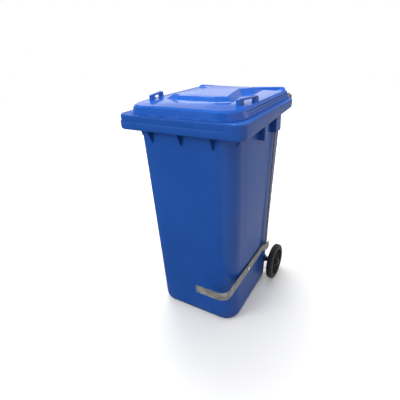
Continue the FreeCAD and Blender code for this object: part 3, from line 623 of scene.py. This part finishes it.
def hand_grip(low, high):
    """A hollow hand grip between two lugs, with moulded finger ribs."""
    profile = []
    count = 7
    run = high - low
    for n in range(count):
        start = low + run * n / count
        width = run / count
        profile += [(start, 13.1), (start + 1.2, 12.9), (start + 2.2, 13.7), (start + width * 0.5, 14.0),
                    (start + width - 1.0, 13.7)]
    profile += [(high, 13.1), (high, GRIP_BORE), (low, GRIP_BORE)]
    return lathe(profile, HINGE_Y, HINGE_Z, 40)


def axle_lug(low, high):
    """A lug low on the tub's rear that the axle passes through."""
    outline = [(BASE_DEEP - 12, AXLE_LUG_LOW), (AXLE_Y - 4, AXLE_LUG_LOW)]
    for n in range(13):
        angle = math.radians(-90 + 180 * n / 12)
        outline.append((AXLE_Y + AXLE_LUG_RADIUS * math.cos(angle),
                        WHEEL_RADIUS + AXLE_LUG_RADIUS * math.sin(angle)))
    outline += [(AXLE_Y - 6, 128), (BASE_DEEP + 6, AXLE_LUG_HIGH), (BASE_DEEP - 12, AXLE_LUG_HIGH)]
    return slab(outline, low, high, 0, 0.0012)


class BIN_OT_tub(bpy.types.Operator):
    """Build the tub with its rim, ribs, pillars, lugs and hand grips"""
    bl_idname = "bin.tub"
    bl_label = "Tub"

    def execute(self, context):
        bm = skin(tub_rings())
        for x in GUSSET_X:
            merge(bm, gusset(x))
        right = [side_web(WEB_Y), pillar(*FRONT_PILLAR, PILLAR_DEPTH, PILLAR_LOW, False),
                 pillar(*REAR_PILLAR, PILLAR_DEPTH, PILLAR_LOW, True)]
        right += [lug(*limits) for limits in HINGE_LUGS] + [hand_grip(*GRIP_SPAN)]
        right += [axle_lug(*limits) for limits in AXLE_LUGS]
        for made in right:
            merge(bm, mirror_x(made.copy()))
            merge(bm, made)
        piece("tub", bm, "root", tub_plastic(), ["body_shell"])
        return {"FINISHED"}


# ---------------------------------------------------------------- lid

LID_HALF, LID_FRONT, LID_REAR, LID_LOW = 263.0, 246.0, 352.0, 1010.4
LID_FRONT_CORNER, LID_REAR_CORNER = 95.0, 35.0
LID_EDGE = 1046.2
LID_CENTRE = (0.0, 72.0)
LID_AROUND, LID_INWARD = 480, 84
CROWN_RISE, CROWN_SOFT = 3.6, 0.8
DOME_FOOT, DOME_STEEP, DOME_SOFT = 3.0, 0.66, 0.7
DOME_TOP, DOME_BULGE = 1068.2, 1.9
TROUGH_DEPTH = 6.0
RIDGE_LEVEL, RIDGE_LIFT = 1051.0, 5.0
GRIP_TURN, GRIP_PLACE = math.radians(75), (0.204, -0.1245, 0)


def soft_min(values, radius):
    """The smallest of the values, with the corners between them rounded."""
    low = min(values)
    return low - radius * math.log(sum(math.exp((low - v) / radius) for v in values))


def corner_drop(x, y):
    """How much lower the lid is at its front corners."""
    return 3.0 * min(1.0, max(0.0, (abs(x) - 98.0) / 150.0)) * (1 - smooth_step(-235, -90, y))


def lid_height(x, y):
    """The height of the lid's upper face."""
    ax = abs(x)
    crown = soft_min([LID_EDGE + CROWN_RISE,
                      LID_EDGE + 0.2 + (LID_HALF - 9 - ax) * 0.055,
                      LID_EDGE + 0.2 + (y + LID_FRONT - 9) * 0.040,
                      LID_EDGE + 1.4 + (LID_REAR - y) * 0.03], CROWN_SOFT)
    crown -= corner_drop(x, y)
    flank = 115.0 + 0.233 * (135.0 - y) - ax
    notch = (115.0 + 1.08 * (y - 135.0) - ax) / 1.47
    shoulder = 177.0 if y < 0 else 157.0
    sides = [max(flank, notch) * DOME_STEEP,
             (shoulder - ax) * DOME_STEEP,
             (y + 107.0) * DOME_STEEP,
             (250.0 - y) * DOME_STEEP * 0.8,
             (136.3 - ax * 0.447 + y * 0.894) * DOME_STEEP,
             (232.0 - ax * 0.80 - (y - 190) * 0.62) * DOME_STEEP]
    dome = LID_EDGE + DOME_FOOT + soft_min(sides, DOME_SOFT)
    top = DOME_TOP + DOME_BULGE * (1 - min(1.0, (ax / 140) ** 2)) * (1 - min(1.0, ((y - 70) / 150) ** 2))
    dome = soft_min([dome, top], DOME_SOFT)
    height = -soft_min([-crown, -dome], DOME_SOFT)
    # the trough in front of the rear ridge, and the ridge
    reach = 1 - smooth_step(206, 226, ax)
    trough = smooth_step(268, 288, y) * (1 - smooth_step(322, 328, y)) * reach
    height -= trough * TROUGH_DEPTH
    rise = RIDGE_LEVEL + RIDGE_LIFT * smooth_step(40, 236, ax)
    rise -= (rise - LID_EDGE - 1) * smooth_step(228, 250, ax)
    ridge = smooth_step(324, 333, y)
    return between(height, max(height, rise), ridge)


def lid_outline(inset):
    """The lid's outline drawn in by inset, as pairs at equal steps along it."""
    half, front, rear = LID_HALF - inset, LID_FRONT - inset, LID_REAR - inset * 0.35
    corner = LID_FRONT_CORNER - inset * 0.6
    path = rounded(half, front, rear, corner, LID_REAR_CORNER, [n / 40 for n in range(41)], 40, 20)
    lengths = [0.0]
    for one, two in zip(path, path[1:] + path[:1]):
        lengths.append(lengths[-1] + math.dist(one, two))
    points, n = [], 0
    for k in range(LID_AROUND):
        goal = lengths[-1] * k / LID_AROUND
        while lengths[n + 1] < goal:
            n += 1
        share = (goal - lengths[n]) / max(1e-9, lengths[n + 1] - lengths[n])
        one, two = path[n], path[(n + 1) % len(path)]
        points.append((between(one[0], two[0], share), between(one[1], two[1], share)))
    return points


def lid_rings():
    """From the lower edge of the stepped skirt, over the edge, to the middle of the top."""
    skirt = [(0.0, 0.0), (0.0, 4.6), (0.5, 5.8), (3.4, 6.4), (4.0, 7.4), (4.6, 15.4), (5.0, 16.2), (6.4, 16.8),
             (6.9, 17.8), (8.2, 26.6), (8.8, 28.8), (10.4, 30.8), (13.4, 31.9)]
    tall = LID_EDGE - LID_LOW
    rings = []
    for inset, rise in skirt:
        rings.append([(x, y, LID_LOW + rise * (1 - corner_drop(x, y) / tall)) for x, y in lid_outline(inset)])
    edge = lid_outline(18.0)
    for share in (n / LID_INWARD for n in range(LID_INWARD)):
        ring = []
        for x, y in edge:
            x, y = between(x, LID_CENTRE[0], share), between(y, LID_CENTRE[1], share)
            ring.append((x, y, lid_height(x, y)))
        rings.append(ring)
    return rings


def lid_grip():
    """A grip moulded across a front corner of the lid: two stout posts with flared feet and a bar."""
    base, top = 1037.0, 1070.0
    outline = [(-6, base), (-1, base + 9), (1, top - 6), (3, top - 2), (8, top), (112, top), (117, top - 2),
               (119, top - 6), (121, base + 9), (126, base), (90, base), (95, base + 10), (98, top - 10),
               (96, top - 7.5), (30, top - 7.5), (28, top - 10), (31, base + 10), (36, base)]
    bm = slab(outline, -8.5, 8.5, 1, 0.0026)
    bm.transform(Matrix.Translation(GRIP_PLACE) @ Matrix.Rotation(GRIP_TURN, 4, "Z"))
    return bm


def knuckle(low, high):
    """An arm and a knuckle that turn on the hinge pin."""
    outline = [(LID_REAR - 12, 1015), (LID_REAR, 1012.2), (HINGE_Y - 20, 1012.2)]
    for n in range(17):
        angle = math.radians(150 + 300 * n / 16)
        outline.append((HINGE_Y + 17 * math.cos(angle), HINGE_Z + 17 * math.sin(angle)))
    outline += [(HINGE_Y + 4, 1022), (LID_REAR + 8, 1025), (LID_REAR - 12, 1026)]
    return slab(outline, low, high, 0, 0.0012)


class BIN_OT_lid(bpy.types.Operator):
    """Build the lid with its stepped skirt, faceted dome, ridge, grips and knuckles"""
    bl_idname = "bin.lid"
    bl_label = "Lid"

    def execute(self, context):
        bm = skin(lid_rings(), close_first=False)
        bmesh.ops.recalc_face_normals(bm, faces=bm.faces)
        up = sum(f.normal.z * f.calc_area() for f in bm.faces)
        if up < 0:
            bmesh.ops.reverse_faces(bm, faces=bm.faces)
        made = bpy.data.meshes.new("lid_skin")
        bm.to_mesh(made)
        bm.free()
        shell = bpy.data.objects.new("lid_skin", made)
        context.scene.collection.objects.link(shell)
        thick = shell.modifiers.new("wall", "SOLIDIFY")
        thick.thickness = sizes().lid_wall
        thick.offset = -1.0
        thick.use_rim = True
        solid = bpy.data.meshes.new_from_object(shell.evaluated_get(context.evaluated_depsgraph_get()))
        bpy.data.objects.remove(shell)
        bpy.data.meshes.remove(made)
        bm = bmesh.new()
        bm.from_mesh(solid)
        bpy.data.meshes.remove(solid)
        for source in (lid_grip(), knuckle(62, 98)):
            merge(bm, mirror_x(source.copy()))
            merge(bm, source)
        piece("lid", bm, "lid", lid_plastic(), ["lid_shell"])
        return {"FINISHED"}


# ---------------------------------------------------------------- wheels

WHEEL_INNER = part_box("tyre_right")[0][0] / MM
WHEEL_WIDE = (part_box("tyre_right")[1][0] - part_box("tyre_right")[0][0]) / MM
TYRE_SEAT, AXLE_BORE, SPOKES = 80.0, 10.08, 12


def tyre_profile(inner):
    """The tyre's section, a closed loop of x and radius, from the inner face outwards."""
    wide, seat, outer = WHEEL_WIDE, TYRE_SEAT, WHEEL_RADIUS
    loop = [(0.6, seat), (0.0, seat + 2), (0.0, 88.5), (0.5, 91.5), (1.8, 94.6), (4.0, 97.4), (7.0, 99.2),
            (10.5, 99.9)]
    mirrored = [(wide - x, r) for x, r in reversed(loop)]
    crown = [(15.0, outer), (16.6, outer), (17.0, outer - 0.35), (17.4, outer), (19.0, outer)]
    return [(inner + x, r) for x, r in loop + crown + mirrored]


def wheel_profile(inner):
    """The moulded wheel's section, a closed loop of x and radius: rim, recessed web and hub."""
    wide, seat, bore = WHEEL_WIDE, TYRE_SEAT, AXLE_BORE
    face = wide / 2
    loop = [(1.2, seat), (1.0, seat - 1), (1.6, 75.4), (3.0, 75.0), (face - 6, 73.5), (face - 5, 72.0),
            (face - 5, 24), (face - 6.5, 20.5), (1.2, 19.5), (0.2, 18.6), (0.0, bore + 1.2), (0.6, bore)]
    hub = [(wide - 0.6, bore), (wide, bore + 1.2), (wide - 0.2, 18.6), (wide - 1.2, 19.5), (face + 2.5, 20.5)]
    out = [(face + 1, 24), (face + 1, 72.0), (face + 2, 73.5), (wide - 3.0, 75.0), (wide - 1.6, 75.4),
           (wide - 1.0, seat - 1), (wide - 1.2, seat)]
    return [(inner + x, r) for x, r in loop + hub + out]


def spokes(inner):
    """Radial ribs on both faces of the wheel's web."""
    bm = bmesh.new()
    for n in range(SPOKES):
        rib = slab([(18.5, -1.6), (76.0, -1.6), (76.0, 1.6), (18.5, 1.6)], inner + 3.5, inner + 30.5, 0, 0.0006)
        rib.transform(Matrix.Rotation(math.tau * n / SPOKES, 4, "X"))
        merge(bm, rib)
    bm.transform(Matrix.Translation((0, AXLE_Y * MM, WHEEL_RADIUS * MM)))
    return bm


class BIN_OT_wheels(bpy.types.Operator):
    """Build both wheels: rubber tyres on ribbed, moulded wheels"""
    bl_idname = "bin.wheels"
    bl_label = "Wheels"

    def execute(self, context):
        inner = WHEEL_INNER
        for side, turn in (("right", lambda bm: bm), ("left", mirror_x)):
            tyre = lathe(tyre_profile(inner), AXLE_Y, WHEEL_RADIUS, 96)
            piece("tyre_" + side + "_rubber", turn(tyre), "wheel_" + side, tyre_rubber(),
                  ["tyre_" + side])
            wheel = lathe(wheel_profile(inner), AXLE_Y, WHEEL_RADIUS, 72)
            merge(wheel, spokes(inner))
            piece("wheel_" + side + "_moulding", turn(wheel), "wheel_" + side, black_plastic(),
                  ["wheel_" + side])
        return {"FINISHED"}


# ---------------------------------------------------------------- kept frame pieces

def dress(name, material, width):
    """Gives a frame piece its material and rounds its edges."""
    node = NODES[name]
    node.data.materials.clear()
    node.data.materials.append(material)
    bevel = node.modifiers.new("edges", "BEVEL")
    bevel.width = width
    bevel.segments = 2
    bevel.limit_method = "ANGLE"
    bevel.angle_limit = math.radians(40)


class BIN_OT_axle(bpy.types.Operator):
    """Finish the axle, its sleeves, washers and caps"""
    bl_idname = "bin.axle"
    bl_label = "Axle"

    def execute(self, context):
        dress("axle", bright_steel(), 0.0005)
        dress("axle_washers", bright_steel(), 0.0003)
        for side in ("right", "left"):
            dress("axle_sleeve_" + side, black_plastic(), 0.0005)
            dress("axle_cap_" + side, black_plastic(), 0.0012)
        return {"FINISHED"}


class BIN_OT_hinge(bpy.types.Operator):
    """Finish the hinge pins"""
    bl_idname = "bin.hinge"
    bl_label = "Hinge pins"

    def execute(self, context):
        for side in ("right", "left"):
            dress("hinge_pin_" + side, tub_plastic(), 0.0008)
        return {"FINISHED"}


class BIN_OT_pedal(bpy.types.Operator):
    """Finish the pedal bar and the bolt, bush, washer and nut that it turns on"""
    bl_idname = "bin.pedal"
    bl_label = "Pedal"

    def execute(self, context):
        dress("pedal_bar", galvanised_steel(), sizes().steel_edge)
        for name in ("pivot_washer", "pivot_nut"):
            dress(name, bright_steel(), 0.0003)
        dress("pivot_bush", black_plastic(), 0.0003)
        dress("pivot_bolt", bright_steel(), 0.0003)
        return {"FINISHED"}


class BIN_OT_rod(bpy.types.Operator):
    """Finish the lifting rod with its cap, pin and rings"""
    bl_idname = "bin.rod"
    bl_label = "Lifting rod"

    def execute(self, context):
        dress("push_rod", galvanised_steel(), 0.0004)
        dress("rod_cap", black_plastic(), 0.0003)
        dress("rod_pin", bright_steel(), 0.0003)
        dress("rod_pin_rings", bright_steel(), 0.0002)
        return {"FINISHED"}


class BIN_OT_lever(bpy.types.Operator):
    """Finish the lever that lifts the lid, with its pad and bolt"""
    bl_idname = "bin.lever"
    bl_label = "Lifting lever"

    def execute(self, context):
        dress("lid_lifter", galvanised_steel(), sizes().steel_edge)
        dress("lifter_pad", black_plastic(), 0.0008)
        dress("lifter_bolt", bright_steel(), 0.0006)
        return {"FINISHED"}


# ---------------------------------------------------------------- stage

FLOOR_REACH = 8.0
# name, place, aim, size, power, and whether the light is seen in reflections
LIGHTS = (("overhead", (-0.4, 0.7, 3.0), (0, 0.1, 0.9), (1.6, 1.0), 55, False),
          ("strip", (-1.5, 1.6, 3.0), (0, 0, 1.0), (1.6, 0.3), 14, True),
          ("front", (-1.7, -3.0, 2.2), (0, 0, 0.55), (2.0, 2.0), 84, False),
          ("side", (3.4, 0.3, 1.8), (0, 0, 0.6), (1.2, 2.4), 8, False))
CAMERA_PLACE = (0.7196, -1.2096, 1.2637)
CAMERA_RIGHT = Vector((0.87499054, 0.48273737, -0.03682645))
CAMERA_UP = Vector((-0.18646516, 0.4062214, 0.89454732))
CAMERA_AHEAD = Vector((-0.44679112, 0.7758536, -0.44545359))


def area_light(name, place, aim, size, power, mirrored):
    """A rectangular light at place, turned towards aim."""
    light = bpy.data.lights.new(name, "AREA")
    light.shape = "RECTANGLE"
    light.size, light.size_y = size
    light.energy = power
    holder = bpy.data.objects.new(name, light)
    holder.location = place
    holder.rotation_euler = (Vector(aim) - Vector(place)).to_track_quat("-Z", "Y").to_euler()
    holder.visible_glossy = mirrored
    holder.visible_camera = False
    bpy.context.scene.collection.objects.link(holder)


def floor_material():
    """A pale floor, darker for the light that it throws back, and bright beside the bin in reflections. Seen by
    the camera it glows, more with distance from the bin, as painted light that whitens it.
    """
    material, tree, shader = new_material("floor")
    rays = tree.add("ShaderNodeLightPath").outputs
    pale = tuple(colours().floor)
    base = tree.mix(rays["Is Glossy Ray"], tinted(pale, 0.3), tinted(pale, 0.06))
    base = tree.mix(rays["Is Camera Ray"], base, pale)
    place = tree.add("ShaderNodeTexCoord").outputs["Object"]
    way = tree.add("ShaderNodeSeparateXYZ", inputs={0: place}).outputs
    beside = tree.ramp(way["X"], 0.05, 0.5, 0.0, 0.60)
    glow = tree.maths("MULTIPLY", beside, rays["Is Glossy Ray"])
    shade(tree, shader, base, 0.9, 0.0)
    shader.inputs["Emission Color"].default_value = (1.0, 1.0, 1.0, 1.0)
    # seen by the camera, the floor glows more the farther it is from the bin: painted light that whitens it
    away = tree.add("ShaderNodeVectorMath", operation="LENGTH", inputs={0: place}).outputs["Value"]
    glow = tree.ramp(rays["Is Camera Ray"], 0.0, 1.0, glow, tree.ramp(away, 0.5, 2.5, 0.10, 0.60))
    tree.tree.links.new(glow, shader.inputs["Emission Strength"])
    return material


def studio_world():
    """Plain soft light: white behind the bin, with a bright wall behind it in reflections."""
    world = bpy.data.worlds.new("studio")
    world.use_nodes = True
    tree = Tree(world.node_tree)
    rays = tree.add("ShaderNodeLightPath").outputs
    place = tree.add("ShaderNodeTexCoord").outputs["Generated"]
    way = tree.add("ShaderNodeSeparateXYZ", inputs={0: place}).outputs
    wall = tree.maths("MULTIPLY", tree.ramp(way["Y"], 0.1, 0.7), tree.ramp(way["Z"], 0.04, 0.17))
    wall = tree.maths("MULTIPLY", wall, tree.ramp(way["Z"], 0.17, 0.23, 1.0, 0.12))
    mirror = tree.maths("ADD", tree.maths("MULTIPLY", wall, 1.35), tree.ramp(way["X"], 0.2, 0.8, 0.12, 0.8))
    soft = tree.ramp(way["Z"], -0.2, 0.9, 0.42, 0.75)
    level = tree.ramp(rays["Is Glossy Ray"], 0.0, 1.0, soft, mirror)
    level = tree.ramp(rays["Is Camera Ray"], 0.0, 1.0, level, 1.0)
    background = world.node_tree.nodes["Background"]
    background.inputs["Color"].default_value = (1.0, 1.0, 1.0, 1.0)
    tree.tree.links.new(level, background.inputs["Strength"])
    return world


class BIN_OT_stage(bpy.types.Operator):
    """Set the floor, the lights and the camera"""
    bl_idname = "bin.stage"
    bl_label = "Stage"

    def execute(self, context):
        scene = context.scene
        mesh = bpy.data.meshes.new("floor")
        near, far = -FLOOR_REACH, FLOOR_REACH
        mesh.from_pydata([(near, near, 0), (far, near, 0), (far, far, 0), (near, far, 0)], [], [(0, 1, 2, 3)])
        floor = bpy.data.objects.new("floor", mesh)
        scene.collection.objects.link(floor)
        mesh.materials.append(floor_material())
        scene.world = studio_world()
        scene.view_settings.view_transform = "Standard"

        for light in LIGHTS:
            area_light(*light)

        camera = bpy.data.cameras.new("camera")
        camera.sensor_width = 36.0
        camera.lens = 28.34
        camera.shift_x = -0.03925
        camera.shift_y = -0.0045
        camera.clip_end = 50
        holder = bpy.data.objects.new("camera", camera)
        turn = Matrix((CAMERA_RIGHT, CAMERA_UP, -CAMERA_AHEAD)).transposed().to_4x4()
        holder.matrix_world = Matrix.Translation(CAMERA_PLACE) @ turn
        scene.collection.objects.link(holder)
        scene.camera = holder
        return {"FINISHED"}


# ---------------------------------------------------------------- panel and start

OPERATORS = (BIN_OT_tub, BIN_OT_lid, BIN_OT_wheels, BIN_OT_axle, BIN_OT_hinge, BIN_OT_pedal, BIN_OT_rod,
             BIN_OT_lever, BIN_OT_stage)


class BIN_PT_panel(bpy.types.Panel):
    """Lists the pieces of the bin"""
    bl_label = "Wheelie bin"
    bl_idname = "BIN_PT_panel"
    bl_space_type = "VIEW_3D"
    bl_region_type = "UI"
    bl_category = "Wheelie bin"

    def draw(self, context):
        layout = self.layout
        for group in (context.scene.bin_sizes, context.scene.bin_colours):
            for name in group.bl_rna.properties.keys():
                if name not in ("rna_type", "name"):
                    layout.prop(group, name)
        for operator in OPERATORS:
            layout.operator(operator.bl_idname)


CLASSES = (BinSizes, BinColours) + OPERATORS + (BIN_PT_panel,)


def register():
    for kind in CLASSES:
        bpy.utils.register_class(kind)
    bpy.types.Scene.bin_sizes = bpy.props.PointerProperty(type=BinSizes)
    bpy.types.Scene.bin_colours = bpy.props.PointerProperty(type=BinColours)


def unregister():
    del bpy.types.Scene.bin_colours
    del bpy.types.Scene.bin_sizes
    for kind in reversed(CLASSES):
        bpy.utils.unregister_class(kind)


def main():
    register()
    for operator in OPERATORS:
        group, name = operator.bl_idname.split(".")
        getattr(getattr(bpy.ops, group), name)()


if __name__ == "__main__":
    main()
